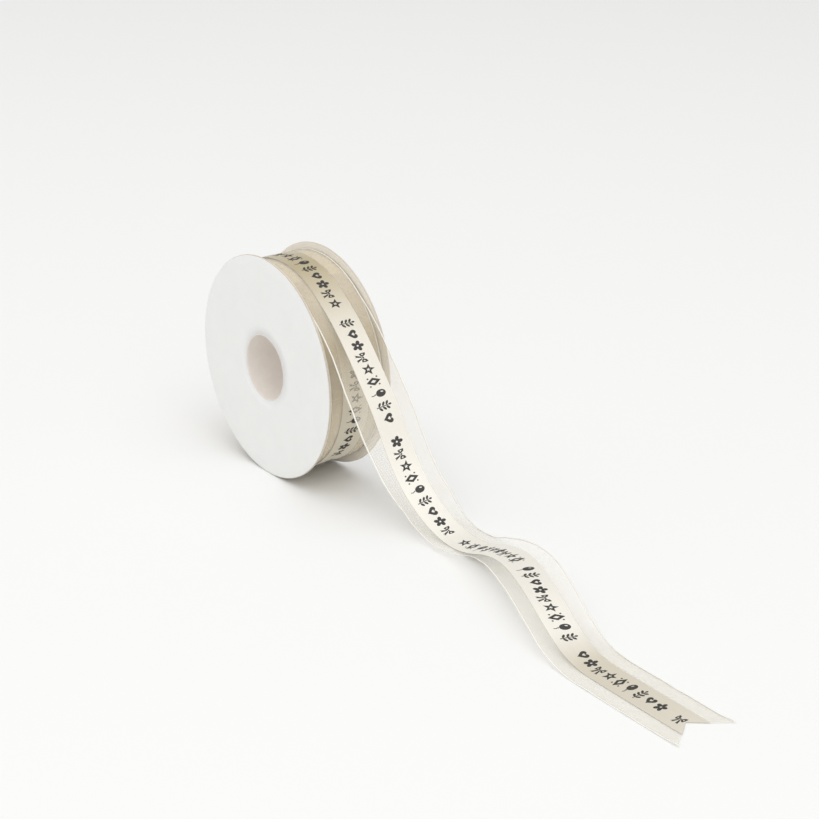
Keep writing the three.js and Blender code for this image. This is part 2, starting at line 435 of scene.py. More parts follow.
# %% Selvedge
def selvedge_material():
    """Packed selvedge yarns: opaque, a little brighter than the satin, with a slanting twist."""
    material, tree = new_material("selvedge_yarn")
    uv = add_node(tree, "ShaderNodeUVMap", uv_map="lay").outputs["UV"]
    slanted = add_node(tree, "ShaderNodeMapping", {
        "Vector": uv, "Rotation": (0.0, 0.0, math.radians(40))})
    twist = threads(tree, slanted.outputs[0], "X", SELVEDGE_TWIST)
    relief = add_node(tree, "ShaderNodeBump", {
        "Height": twist, "Strength": 0.25, "Distance": 0.06 * MM})
    shade = add_node(tree, "ShaderNodeMix", {
        0: twist, 6: linear("#F0ECE0"), 7: linear("#FBF9F3")}, data_type="RGBA")
    cloth = add_node(tree, "ShaderNodeBsdfPrincipled", {
        "Base Color": shade.outputs[2], "Roughness": 0.45, "IOR": 1.6, "Normal": relief.outputs[0]})
    add_node(tree, "ShaderNodeOutputMaterial", {"Surface": cloth.outputs[0]})
    return material


selvedge = selvedge_material()
print(selvedge.name)

# %% [markdown]
# ## The ribbon, cut flat
# The section is a short list of rows from the middle to one edge, with half the thickness at
# each: the satin is thicker than the organza, and the selvedge is a small round cord.

# %% Section
SECTION = (  # millimetres from the middle, half the thickness there, in millimetres
    (0.0, 0.10), (1.5, 0.10), (3.0, 0.10), (4.5, 0.10), (5.8, 0.10), (6.0, 0.08), (6.1, 0.05),
    (7.5, 0.05), (9.0, 0.05), (10.5, 0.05), (11.8, 0.05), (12.0, 0.06), (12.15, 0.11),
    (12.28, 0.13), (12.4, 0.1), (12.5, 0.0),
)
SATIN_EDGE = 6.05 * MM
SELVEDGE_EDGE = 11.9 * MM

# %% [markdown]
# The swallowtail is cut by drawing the rows of the last stretch back towards the middle, and its two
# points lift a little off the table. The selvedge is tighter than the cloth, so the free edges ripple
# slightly. The sheer bands also bend up or down by themselves where nothing holds them. That can't be
# worked out from the route, so a table says how far each bends.

# %% Cut and edges of the free tail
NOTCH_DEPTH = 10 * MM
CUT_LEAN = 25 * MM  # the last stretch, in which the rows lean towards the cut
TIP_LIFT = 0.8 * MM
RIPPLE_START = 25 * MM  # after the roll; the ripple has grown to its full height at twice this
RIPPLES = ((0.07, 2.9, 2), (0.05, 1.7, 0))  # height, wavelength / 2 pi (mm), phase
BAND_BEND = 1.3  # above 1, a band bends more near its edge than near the satin
EDGE_SET = (  # millimetres after the roll, then how far the near and the far edge bend up
    (0, 0, 0), (24, -0.3, 0), (38, -2.4, 0), (48, -3, 0.2), (57, -2.6, 0.3), (70, -0.5, 0.6),
    (88, 2.2, 1.0), (99, 1.6, -1.6), (108, 1.4, -1.0), (120, 1.5, 1.2), (145, 1.2, 0.2),
    (162, 0.6, 0.8), (200, 0, 0), (272, 0, 0),
)


def shape_tail(x, y, z, length):
    """The new x and z of the tail's points, with the cut made and the edges bent."""
    edge = np.abs(y) / half_width
    lean = np.clip((x - length + CUT_LEAN) / CUT_LEAN, 0, 1)
    x = x - lean * NOTCH_DEPTH * (1 - edge)
    slack = np.clip((x - RIPPLE_START) / RIPPLE_START, 0, 1)
    ripple = sum(high * np.sin(x / (long * MM) + shift * np.sign(y)) for high, long, shift in RIPPLES)
    tip = np.clip((x - length + NOTCH_DEPTH) / NOTCH_DEPTH, 0, 1) ** 2
    z = z + edge ** 2 * (slack * ripple * MM + tip * TIP_LIFT)
    at, near_set, far_set = (np.array(column) * MM for column in zip(*EDGE_SET))
    band = np.clip((np.abs(y) - SATIN_EDGE) / (half_width - SATIN_EDGE), 0, 1) ** BAND_BEND
    return x, z + band * np.where(y < 0, np.interp(x, at, near_set), np.interp(x, at, far_set))


# %% [markdown]
# Thin cloth takes some tint from what lies behind it, and much of the rest is painted light. Three numbers
# on the ribbon's points, which the materials read, carry both. The satin is painted pale cream where light
# would shine through it and where its sheen would show, and stays beige where it lies on something. The
# organza is tan over the roll, from the layers beneath, and gets a painted tan light from the roll where
# the tail hangs in front of it. The first stretch of the turn lies hidden under the ribbon's own end. It
# is tan and solid, because two sheer layers on the roll looked darker than the rest.

# %% Tints and painted light
TINT_AND_PAINTED_LIGHT = (  # millimetres after the roll, the satin's painted light, how tan the organza is (partly a painted tan light from the roll) and how solid
    (-280, 0.3, 1, 1), (-250, 0.45, 1, 1), (-215, 0.45, 0.3, 0), (-170, 0.45, 0.2, 0),
    (-90, 0.25, 0.2, 0), (-40, 0.2, 0.2, 0), (-20, 0, 0.2, 0), (-5, 0.15, 0.3, 0),
    (10, 0.6, 0.5, 0), (22, 0.75, 0.9, 0), (40, 0.8, 0.5, 0), (58, 0.9, 0.1, 0), (80, 1, 0, 0),
    (196, 1, 0, 0), (214, 0.5, 0.15, 0), (236, 0.54, 0.15, 0), (254, 0.6, 0.15, 0),
    (272, 0.7, 0.15, 0),
)


def write_tint_and_painted_light(strip, after_roll):
    """Writes the tints and the painted light on a strip, from each point's distance after the roll."""
    at, *tints = zip(*TINT_AND_PAINTED_LIGHT)
    for tint, values in zip(("ivory", "tan", "solid"), tints):
        spread = np.interp(after_roll / MM, at, values)
        strip.data.attributes.new(tint, "FLOAT", "POINT").data.foreach_set("value", spread)


# %% [markdown]
# A strip is the section's outline, repeated along the ribbon and joined by faces. Every face
# keeps a number for its weave: 0 satin, 1 organza, 2 selvedge. Both ends are closed by faces with
# corners of their own, because with shared corners a grey line showed across the ribbon where
# the two strips meet.

# %% Flat ribbon
STRIP_STEP = 1.0 * MM


def flat_ribbon(name, length, free_end=False):
    """A closed flat strip from x = 0 to its length, with its weaves and tints."""
    half = [(y * MM, t * MM) for y, t in SECTION]
    rows = [(-y, t) for y, t in half[:0:-1]] + half
    ring = rows + [(y, -t) for y, t in rows[-2:0:-1]]
    around, steps = len(ring), round(length / STRIP_STEP)
    x = np.repeat(np.linspace(0, length, steps + 1), around)
    y, z = (np.tile(column, steps + 1) for column in zip(*ring))
    if free_end:
        x, z = shape_tail(x, y, z, length)

    middle_of = [abs(ring[k][0] + ring[(k + 1) % around][0]) / 2 for k in range(around)]
    weave_of = [int(m > SATIN_EDGE) + int(m > SELVEDGE_EDGE) for m in middle_of]
    faces, weaves = [], []
    for s in range(steps):
        for k in range(around):
            here, after = s * around, (s + 1) * around
            faces.append((here + k, after + k, after + (k + 1) % around, here + (k + 1) % around))
            weaves.append(weave_of[k])
    x, y, z = (np.concatenate([c, c[:around], c[-around:]]) for c in (x, y, z))
    first, last = (steps + 1) * around, (steps + 2) * around
    for k in range(len(rows) - 1):
        cap = tuple(dict.fromkeys((k, k + 1, (around - k - 1) % around, (around - k) % around)))
        faces += [tuple(first + i for i in cap), tuple(last + i for i in reversed(cap))]
        weaves += [weave_of[k]] * 2
    uvs = [(x[i], y[i]) for face in faces for i in face]
    strip = piece_from(name, np.column_stack([x, y, z]), faces, uvs)
    strip.data.attributes.new("weave", "INT", "FACE").data.foreach_set("value", weaves)
    write_tint_and_painted_light(strip, x if free_end else x - length)
    return strip


# %% [markdown]
# One tree lays a strip on the route and gives each weave its own material. The outermost turn
# and the tail are two strips, because the tail is a free length that is measured on its own, but
# they meet exactly where the ribbon leaves the roll. Both belong to the body `drawn_ribbon`:
# when the spool turns, the ribbon that is already drawn off stays where it is.

# %% Lay the ribbon
TABLE_CLEARANCE = 0.03 * MM  # nothing of the cloth sinks below this

ribbon_tree, given = new_geometry_tree("woven_ribbon", {
    "Route": "Object", "Start": "Float", "Organza": "Material", "Satin": "Material",
    "Selvedge": "Material"})
laid = add_node(ribbon_tree, "GeometryNodeGroup", node_tree=lay_tree)
for label in ("Geometry", "Route", "Start"):
    ribbon_tree.links.new(given[label], laid.inputs[label])
weave = add_node(ribbon_tree, "GeometryNodeInputNamedAttribute", {"Name": "weave"}, data_type="INT")
cloth = laid.outputs[0]
for number, label in enumerate(("Satin", "Organza", "Selvedge")):
    chosen = add_node(ribbon_tree, "FunctionNodeCompare", {
        2: weave.outputs["Attribute"], 3: number}, data_type="INT", operation="EQUAL")
    cloth = add_node(ribbon_tree, "GeometryNodeSetMaterial", {
        "Geometry": cloth, "Selection": chosen.outputs[0], "Material": given[label]}).outputs[0]
add_node(ribbon_tree, "NodeGroupOutput", {"Geometry": cloth})


def lay_ribbon(name, start, length, free_end=False):
    """A finished stretch of ribbon on the route."""
    strip = flat_ribbon(name, length, free_end)
    run_tree(strip, ribbon_tree, {"Route": route_object, "Start": start, "Organza": organza,
                                  "Satin": satin, "Selvedge": selvedge})
    return settle(strip)


outer_turn = lay_ribbon("ribbon_outer_turn", 0.0, turn_length)
free_tail = lay_ribbon("ribbon_free_tail", turn_length, tail_length, free_end=True)
for vertex in free_tail.data.vertices:
    vertex.co.z = max(vertex.co.z, TABLE_CLEARANCE)

# %% [markdown]
# ## The print
# A line of small black ornaments runs along the satin, in groups with a short space between
# them. Each ornament is drawn flat from closed outlines, where an outline inside another is a
# hole, and becomes a thin film of ink with real thickness. It is cut into narrow slices first,
# so that it can follow the ribbon's bends and never dips into it.

# %% Outlines
def ring_of(count, shape):
    """The points of a closed outline, from a function of the angle."""
    return [shape(2 * math.pi * i / count) for i in range(count)]


def oval(cx, cy, rx, ry, tilt=0.0, count=16):
    """An ellipse with its centre, half sizes and tilt in degrees."""
    c, s = math.cos(math.radians(tilt)), math.sin(math.radians(tilt))
    return ring_of(count, lambda a: (
        cx + rx * math.cos(a) * c - ry * math.sin(a) * s,
        cy + rx * math.cos(a) * s + ry * math.sin(a) * c))


def petals(number, outer, inner, count=40):
    """A round flower outline with so many petals."""
    def shape(a):
        reach = inner + (outer - inner) * abs(math.cos(number * (a - math.pi / 2) / 2))
        return reach * math.cos(a), reach * math.sin(a)
    return ring_of(count, shape)


def star(points, outer, inner):
    """A star with straight sides."""
    return [
        (reach * math.sin(math.pi * i / points), reach * math.cos(math.pi * i / points))
        for i, reach in enumerate([outer, inner] * points)
    ]


def heart(size, cy=0.0):
    """A heart with its point down."""
    return ring_of(28, lambda a: (
        size * math.sin(a) ** 3,
        cy + size * (13 * math.cos(a) - 5 * math.cos(2 * a) - 2 * math.cos(3 * a)
                     - math.cos(4 * a)) / 16))


def mirrored(outline):
    """The same outline on the other side of the ornament's upright middle line."""
    return [(-x, y) for x, y in reversed(outline)]


# %% Ornaments, in millimetres
leaf_pairs = [oval(1.05, height, 0.95, 0.46, 35) for height in (-1.5, 0.1, 1.6)]
bow_loop = [(0.45, 0.1), (1.1, 1.2), (2.1, 1.5), (2.2, 0.2), (2.0, -1.0), (1.1, -0.8), (0.45, -0.15)]
bow_hole = [(1.1, 0.1), (1.5, 0.55), (1.7, 0.55), (1.75, 0.1), (1.65, -0.3), (1.4, -0.25)]
bow_end = [(0.1, -0.55), (0.6, -0.5), (1.8, -2.9), (1.1, -2.5), (0.8, -3.0)]
ORNAMENTS = {
    "sprig": [[(-0.2, -3.0), (0.2, -3.0), (0.16, 2.0), (-0.16, 2.0)], oval(0, 2.6, 0.42, 0.6),
              *leaf_pairs, *map(mirrored, leaf_pairs)],
    "heart": [heart(2.15, 0.2), heart(0.7, 0.35)],
    "blossom": [petals(5, 2.5, 1.2), oval(0, 0, 0.42, 0.42, count=12)],
    "bow": [oval(0, 0, 0.34, 0.42, count=12), bow_loop, mirrored(bow_loop), bow_hole,
            mirrored(bow_hole), bow_end, mirrored(bow_end)],
    "star": [star(5, 2.7, 1.15), star(5, 0.9, 0.36)],
    "lozenge": [[(0, -3.0), (1.8, 0), (0, 3.0), (-1.8, 0)], [(0, -1.2), (0.65, 0), (0, 1.2), (-0.65, 0)],
                oval(1.8, 1.9, 0.36, 0.36, count=10), oval(-1.8, -1.9, 0.36, 0.36, count=10),
                oval(-1.8, 1.9, 0.36, 0.36, count=10), oval(1.8, -1.9, 0.36, 0.36, count=10)],
    "balloon": [oval(0, 0.9, 1.65, 2.0, count=24), oval(-0.55, 1.5, 0.28, 0.6, -18, count=12),
                [(-0.45, -1.6), (0, -1.15), (0.45, -1.6)],
                [(-0.15, -1.7), (0.15, -1.7), (0.45, -2.3), (0.15, -3.1), (-0.15, -3.1), (0.13, -2.3)]],
}
print(len(ORNAMENTS), "ornaments:", ", ".join(ORNAMENTS))

# %% Ink film
INK_THICKNESS = 0.03 * MM
INK_SLICE = 0.7 * MM
INK_CUTS = 4  # on each side of the middle one
ORNAMENT_SCALE = (0.87 * MM, 1.12 * MM)


def ink_ornament(name, outlines):
    """A thin closed film of ink with the given outlines, in slices across the ribbon."""
    sheet = bmesh.new()
    for outline in outlines:
        corners = [sheet.verts.new((x * ORNAMENT_SCALE[0], y * ORNAMENT_SCALE[1], 0)) for x, y in outline]
        for i, corner in enumerate(corners):
            sheet.edges.new((corner, corners[(i + 1) % len(corners)]))
    bmesh.ops.triangle_fill(sheet, use_beauty=True, edges=sheet.edges)
    for i in range(-INK_CUTS, INK_CUTS + 1):
        bmesh.ops.bisect_plane(sheet, geom=[*sheet.verts, *sheet.edges, *sheet.faces],
                               plane_co=(i * INK_SLICE, 0, 0), plane_no=(1, 0, 0))
    bmesh.ops.dissolve_degenerate(sheet, dist=0.002 * MM, edges=sheet.edges)
    top = bmesh.ops.extrude_face_region(sheet, geom=sheet.faces[:])["geom"]
    lifted = [part for part in top if isinstance(part, bmesh.types.BMVert)]
    bmesh.ops.translate(sheet, verts=lifted, vec=(0, 0, INK_THICKNESS))
    bmesh.ops.recalc_face_normals(sheet, faces=sheet.faces)
    mesh = bpy.data.meshes.new(name)
    sheet.to_mesh(mesh)
    sheet.free()
    return bpy.data.objects.new(name, mesh)


ornament_set = bpy.data.collections.new("ornaments")
for number, (name, outlines) in enumerate(ORNAMENTS.items()):
    ornament_set.objects.link(ink_ornament(f"{number}_{name}", outlines))


# %% Ink
def ink_material():
    """Screen-printed black ink: matt, a little warm, and slightly uneven where the weave took it."""
    material, tree = new_material("screen_print_ink")
    place = add_node(tree, "ShaderNodeTexCoord").outputs["Object"]
    patchy = add_node(tree, "ShaderNodeTexNoise", {"Vector": place, "Scale": 900.0, "Detail": 3.0})
    shade = add_node(tree, "ShaderNodeMix", {
        0: patchy.outputs["Fac"], 6: linear("#1E1D1A"), 7: linear("#36342E")}, data_type="RGBA")
    ink = add_node(tree, "ShaderNodeBsdfPrincipled", {
        "Base Color": shade.outputs[2], "Roughness": 0.6, "IOR": 1.5})
    add_node(tree, "ShaderNodeOutputMaterial", {"Surface": ink.outputs[0]})
    return material


ink = ink_material()

# %% [markdown]
# The line of print is one Geometry Nodes tree: as many points as there are ornaments, spaced in
# groups, with the next ornament of the set on each point. The same group as before then lays
# them on the route, just above the satin. The input First leaves out ornaments at the start,
# where the turn lies under its own end. One more ornament stands alone at the notch.

# %% Print line
GROUP_SIZE = 9
ORNAMENT_PITCH = 5.0 * MM
GROUP_REPEAT = 49.4 * MM
FIRST_GROUP = 10 * MM  # after the ribbon has left the roll
SATIN_TOP = SECTION[0][1] * MM

print_tree, given = new_geometry_tree("print_line", {
    "Route": "Object", "Start": "Float", "Ornaments": "Collection", "First": "Int", "Count": "Int",
    "Group Size": "Int", "Pitch": "Float", "Group Repeat": "Float", "Height": "Float",
    "Ink": "Material"})
dots = add_node(print_tree, "GeometryNodePoints", {"Count": given["Count"]})
index = add_node(print_tree, "ShaderNodeMath", {
    0: add_node(print_tree, "GeometryNodeInputIndex").outputs[0], 1: given["First"]},
    operation="ADD").outputs[0]
group = add_node(print_tree, "ShaderNodeMath", {0: index, 1: given["Group Size"]}, operation="DIVIDE")
group = add_node(print_tree, "ShaderNodeMath", {0: group.outputs[0]}, operation="FLOOR")
place_in_group = add_node(print_tree, "ShaderNodeMath", {
    0: index, 1: given["Group Size"]}, operation="MODULO")
group_start = add_node(print_tree, "ShaderNodeMath", {
    0: group.outputs[0], 1: given["Group Repeat"]}, operation="MULTIPLY")
along = add_node(print_tree, "ShaderNodeMath", {
    0: place_in_group.outputs[0], 1: given["Pitch"], 2: group_start.outputs[0]},
    operation="MULTIPLY_ADD")
place = add_node(print_tree, "ShaderNodeCombineXYZ", {"X": along.outputs[0], "Z": given["Height"]})
print_tree.links.new(place.outputs[0], dots.inputs["Position"])
shapes = add_node(print_tree, "GeometryNodeCollectionInfo", {
    "Collection": given["Ornaments"], "Separate Children": True, "Reset Children": True})
printed = add_node(print_tree, "GeometryNodeInstanceOnPoints", {
    "Points": dots.outputs[0], "Instance": shapes.outputs[0], "Pick Instance": True,
    "Instance Index": index})
whole = add_node(print_tree, "GeometryNodeRealizeInstances", {"Geometry": printed.outputs[0]})
laid = add_node(print_tree, "GeometryNodeGroup", {"Geometry": whole.outputs[0]}, node_tree=lay_tree)
for label in ("Route", "Start"):
    print_tree.links.new(given[label], laid.inputs[label])
inked = add_node(print_tree, "GeometryNodeSetMaterial", {
    "Geometry": laid.outputs[0], "Material": given["Ink"]})
add_node(print_tree, "NodeGroupOutput", {"Geometry": inked.outputs[0]})


def lay_print(name, start, first, count):
    """The ornaments from one number on, in groups that are counted from the start."""
    line = piece_from(name, [], [])
    run_tree(line, print_tree, {
        "Route": route_object, "Start": start + ORNAMENT_PITCH / 2, "Ornaments": ornament_set,
        "First": first, "Count": count, "Group Size": GROUP_SIZE, "Pitch": ORNAMENT_PITCH,
        "Group Repeat": GROUP_REPEAT, "Height": SATIN_TOP, "Ink": ink})
    return settle(line)


TURN_GROUPS, TAIL_GROUPS = 6, 5
TURN_FIRST = 4
turn_print = lay_print("print_outer_turn", turn_length + FIRST_GROUP - TURN_GROUPS * GROUP_REPEAT,
                       TURN_FIRST, TURN_GROUPS * GROUP_SIZE - TURN_FIRST)
tail_print = lay_print("print_free_tail", turn_length + FIRST_GROUP, 0, TAIL_GROUPS * GROUP_SIZE + 1)

# %% [markdown]
# Its path is the route's second part, and its end is cut, as a ribbon's is.

tail_path = route[lengths_along(route) >= turn_length - ROUTE_STEP / 2]
for piece in (outer_turn, free_tail, turn_print, tail_print):
    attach(piece, "drawn_ribbon")
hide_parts("ribbon_tail")

# %% [markdown]
# ## Turned pieces
# The flanges, their paper, the core, the glue and the wound ribbon are all rings about the
# spool's axis. One function turns a closed profile round that axis. Each ring may wander a
# little from the true shape, because nothing made of board and paper is perfect. The turn is
# closed on itself, so it has no seam, and its UV map gives metres round it and along its profile.

# %% Turn a profile
TURN_SEGMENTS = 192


def turned(name, profile, wander=None, segments=TURN_SEGMENTS):
    """A closed ring. The profile's points are (radius, y), and wander changes them by angle."""
    points, uvs, faces = [], [], []
    count = len(profile)
    walked = lengths_along(np.array([*profile, profile[0]]))
    for s in range(segments):
        angle = 2 * math.pi * s / segments
        for radius, y in profile:
            if wander:
                radius, y = wander(radius, y, angle)
            points.append((radius * math.cos(angle), y, axis_height + radius * math.sin(angle)))
    for s in range(segments):
        for k in range(count):
            corners = ((s, k), (s, k + 1), (s + 1, k + 1), (s + 1, k))
            faces.append([(a % segments) * count + b % count for a, b in corners])
            mean_radius = (profile[k][0] + profile[(k + 1) % count][0]) / 2
            uvs += [(a / segments * 2 * math.pi * mean_radius, walked[b]) for a, b in corners]
    ring = piece_from(name, points, faces, uvs)
    shell = bmesh.new()
    shell.from_mesh(ring.data)
    if shell.calc_volume(signed=True) < 0:
        bmesh.ops.reverse_faces(shell, faces=shell.faces)
    shell.to_mesh(ring.data)
    shell.free()
    return ring


def plate_profile(inner, outer, low, high, rounding, radial_steps=8):
    """The section of a flat ring with rounded outer edges."""
    def corner(y, first):
        return [
            (outer - rounding + rounding * math.cos(math.radians(a)),
             y + rounding * math.sin(math.radians(a)))
            for a in (first, first + 30, first + 60, first + 90)
        ]
    across = [inner + (outer - rounding - inner) * i / radial_steps for i in range(radial_steps)]
    return [(r, low) for r in across] + corner(low + rounding, -90) + corner(high - rounding, 0) \
        + [(r, high) for r in reversed(across)]


# %% [markdown]
# ## Paper and board
# The flanges are chipboard, a grey board pressed from waste fibre, so its cut rim shows layers
# and dark flecks. It is faced with smooth white paper, which has only a faint mottle and a fine
# tooth. The core is a spirally wound kraft tube, brown and slightly hairy, with a paler paper
# liner that shows in the bore, where the edge of each turn of paper makes a slanting step.

# %% Paper and board materials
FIBRE = 0.35 * MM  # real fibres are about 0.03 mm thick, drawn coarser so that they show


def fibrous_material(name, dark, light, mottle, roughness, relief_height, fibre_stretch=(1, 1, 1)):
    """Paper or board: a slow mottle in the colour and fine fibres in the relief."""
    material, tree = new_material(name)
    place = add_node(tree, "ShaderNodeTexCoord").outputs["Object"]
    cloudy = add_node(tree, "ShaderNodeTexNoise", {
        "Vector": place, "Scale": 1 / mottle, "Detail": 5.0, "Roughness": 0.6})
    stretched = add_node(tree, "ShaderNodeMapping", {
        "Vector": place, "Scale": tuple(s / FIBRE for s in fibre_stretch)})
    fibres = add_node(tree, "ShaderNodeTexNoise", {
        "Vector": stretched.outputs[0], "Scale": 1.0, "Detail": 2.0})
    relief = add_node(tree, "ShaderNodeBump", {
        "Height": fibres.outputs["Fac"], "Strength": 0.5, "Distance": relief_height})
    uneven = add_node(tree, "ShaderNodeMapRange", {
        "Value": fibres.outputs["Fac"], "To Min": roughness - 0.06, "To Max": roughness + 0.06})
    shade = add_node(tree, "ShaderNodeMix", {
        0: cloudy.outputs["Fac"], 6: linear(dark), 7: linear(light)}, data_type="RGBA")
    sheet = add_node(tree, "ShaderNodeBsdfPrincipled", {
        "Base Color": shade.outputs[2], "Roughness": uneven.outputs[0], "IOR": 1.5,
        "Normal": relief.outputs[0]})
    add_node(tree, "ShaderNodeOutputMaterial", {"Surface": sheet.outputs[0]})
    return material


# smooth machine-coated paper: almost even white, matt
facing_paper = fibrous_material("coated_white_paper", "#EDEDEB", "#F4F4F2", 9 * MM, 0.6, 0.01 * MM)
# lining paper on the flanges' inner sides: a warm light grey, which is painted shade and painted tan
# bounce from the wound ribbon
lining_paper_with_painted_shade = fibrous_material("unbleached_lining_paper", "#E9E2D5", "#F3EDE2", 4 * MM, 0.7, 0.02 * MM)
# recycled chipboard: a warm light grey, its cut rim rough and layered along the flange
chipboard = fibrous_material("grey_chipboard", "#C2B8A8", "#E0D8CA", 1.2 * MM, 0.85, 0.08 * MM,
                             (0.4, 1.6, 0.4))
# brown kraft board of the tube: warm, with long fibres round it
kraft_board = fibrous_material("kraft_tube_board", "#9C7C54", "#BE9E72", 2.5 * MM, 0.85, 0.05 * MM,
                               (0.5, 2.0, 0.5))
print("paper and board:", facing_paper.name, chipboard.name, kraft_board.name)

# %% [markdown]
# ## Flanges
# Each flange is a board with a paper facing on both sides. A die cuts it from a larger sheet, so
# its rim is slightly crushed and round, and the facing ends a hair before it. The board is also
# a little warped, as laminated board always is; all the sheets of one flange share that warp.

# %% Flanges
WARP = 0.12 * MM
RIM_ROUGHNESS = 0.03 * MM
RIM_BAND = 1 * MM  # only this much of the edge is uneven


def flange_wander(side, rim):
    """The warp of one flange, and the unevenness of its rim."""
    def wander(radius, y, angle):
        out = (radius / flange_radius) ** 2
        y += WARP * out * math.sin(2 * angle + 1.3 * side) * 0.5
        # the wave counts share no factor, so the rim looks irregular
        rough = math.sin(53 * angle + side) + math.sin(31 * angle) + math.sin(88 * angle)
        if radius > flange_radius - RIM_BAND:
            radius += rim * rough / 3
        return radius, y
    return wander


def on_spool(piece, material, slot, node):
    """Gives a piece its material, and makes it stand for a CAD node on the spool."""
    piece.data.materials.append(material)
    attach(piece, "spool")
    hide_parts(node)


bore_edge = ring_sizes("core_liner")[0]
for side, label in ((-1, "near"), (1, "far")):
    for part, material, slot, rounding, rim in (
        ("flange_board", chipboard, "flange_greyboard", 0.22 * MM, RIM_ROUGHNESS),
        ("outer_facing", facing_paper, "white_facing_paper", 0.09 * MM, 0.3 * RIM_ROUGHNESS),
        # the inner facing's paper colour carries painted shade and painted bounce from the ribbon
        ("inner_facing", lining_paper_with_painted_shade, "white_facing_paper", 0.09 * MM, 0.3 * RIM_ROUGHNESS),
    ):
        node = f"{label}_{part}"
        outer, low, high = ring_sizes(node)
        ring = turned(f"{node}_disc", plate_profile(bore_edge, outer, low, high, rounding),
                      flange_wander(side, rim))
        on_spool(ring, material, slot, node)
        print(node, "at", round(low / MM, 2), "to", round(high / MM, 2), "mm")

# %% [markdown]
# ## Core
# The tube is wound from strips of kraft at a slant, and so is its liner. In the bore that leaves
# a low step along a helix, where the edge of each strip lies on the one before. The step is real
# geometry: the liner's inner wall is turned with a radius that grows slowly and drops back.

# %% Liner and tube
LINER_WALL = 0.5 * MM
STRIP_LEAD = 46 * MM  # how far the strip's edge travels along the tube in one turn
STRIP_STEP_HEIGHT = 0.12 * MM
STEP_WIDTH = 0.04  # the share of a turn in which the radius drops back
LINER_ROWS = 36

liner_outer, liner_near, liner_far = ring_sizes("core_liner")
liner_inner = liner_outer - LINER_WALL
liner_rows = [liner_near + (liner_far - liner_near) * i / LINER_ROWS for i in range(LINER_ROWS + 1)]


def liner_wander(radius, y, angle):
    """Moves the inner wall by the helical step."""
    if radius > liner_inner + LINER_WALL / 2:
        return radius, y
    turn_share = (angle / (2 * math.pi) + (y - liner_near) / STRIP_LEAD) % 1
    rise = turn_share / (1 - STEP_WIDTH) if turn_share < 1 - STEP_WIDTH else (1 - turn_share) / STEP_WIDTH
    return radius + STRIP_STEP_HEIGHT * rise, y


# bleached liner paper: a warm light grey, smoother than the kraft behind it
liner_paper = fibrous_material("tube_liner_paper", "#E3DBD4", "#F0EAE3", 3 * MM, 0.75, 0.02 * MM)
liner = turned("core_liner_sleeve", [(liner_inner, y) for y in liner_rows]
               + [(liner_outer, liner_far), (liner_outer, liner_near)], liner_wander)
on_spool(liner, liner_paper, "liner_paper", "core_liner")

tube_outer, tube_near, tube_far = ring_sizes("core_tube")
tube = turned("core_tube_wall", plate_profile(liner_outer, tube_outer, tube_near, tube_far, 0.1 * MM))
on_spool(tube, kraft_board, "tube_board", "core_tube")
print("liner step", STRIP_STEP_HEIGHT / MM, "mm")

# %% [markdown]
# ## Glue and tape
# Hot-melt glue holds each flange to the tube in a bead that was laid by a turning nozzle, so it
# swells and thins. A strip of clear tape holds the ribbon's first turn; the CAD node already has
# the right shape for it, and only gets its material.


# %% Glue and tape
def glue_material():
    """Hot-melt adhesive: cloudy amber wax with a soft gloss and small bubbles."""
    material, tree = new_material("hot_melt_glue")
    place = add_node(tree, "ShaderNodeTexCoord").outputs["Object"]
    cloudy = add_node(tree, "ShaderNodeTexNoise", {"Vector": place, "Scale": 700.0, "Detail": 3.0})
    relief = add_node(tree, "ShaderNodeBump", {
        "Height": cloudy.outputs["Fac"], "Strength": 0.4, "Distance": 0.1 * MM})
    shade = add_node(tree, "ShaderNodeMix", {
        0: cloudy.outputs["Fac"], 6: linear("#DCCB9C"), 7: linear("#EFE4C2")}, data_type="RGBA")
    wax = add_node(tree, "ShaderNodeBsdfPrincipled", {
        "Base Color": shade.outputs[2], "Roughness": 0.3, "IOR": 1.48, "Subsurface Weight": 0.3,
        "Subsurface Scale": 1.0 * MM, "Normal": relief.outputs[0]})
    add_node(tree, "ShaderNodeOutputMaterial", {"Surface": wax.outputs[0]})
    return material


def tape_material():
    """Clear packing film over kraft: glossy, faintly yellow, with fine drawn lines."""
    material, tree = new_material("clear_film_tape")
    place = add_node(tree, "ShaderNodeTexCoord").outputs["Object"]
    drawn = add_node(tree, "ShaderNodeMapping", {"Vector": place, "Scale": (300.0, 4000.0, 300.0)})
    lines = add_node(tree, "ShaderNodeTexNoise", {"Vector": drawn.outputs[0], "Scale": 1.0})
    shade = add_node(tree, "ShaderNodeMix", {
        0: lines.outputs["Fac"], 6: linear("#CDBD99"), 7: linear("#DACDAE")}, data_type="RGBA")
    film = add_node(tree, "ShaderNodeBsdfPrincipled", {
        "Base Color": shade.outputs[2], "Roughness": 0.15, "IOR": 1.49, "Coat Weight": 0.5})
    add_node(tree, "ShaderNodeOutputMaterial", {"Surface": film.outputs[0]})
    return material


BEAD_GAP = 0.03 * MM  # between the tube and the bead's inner wall
BEAD_SEGMENTS = 96

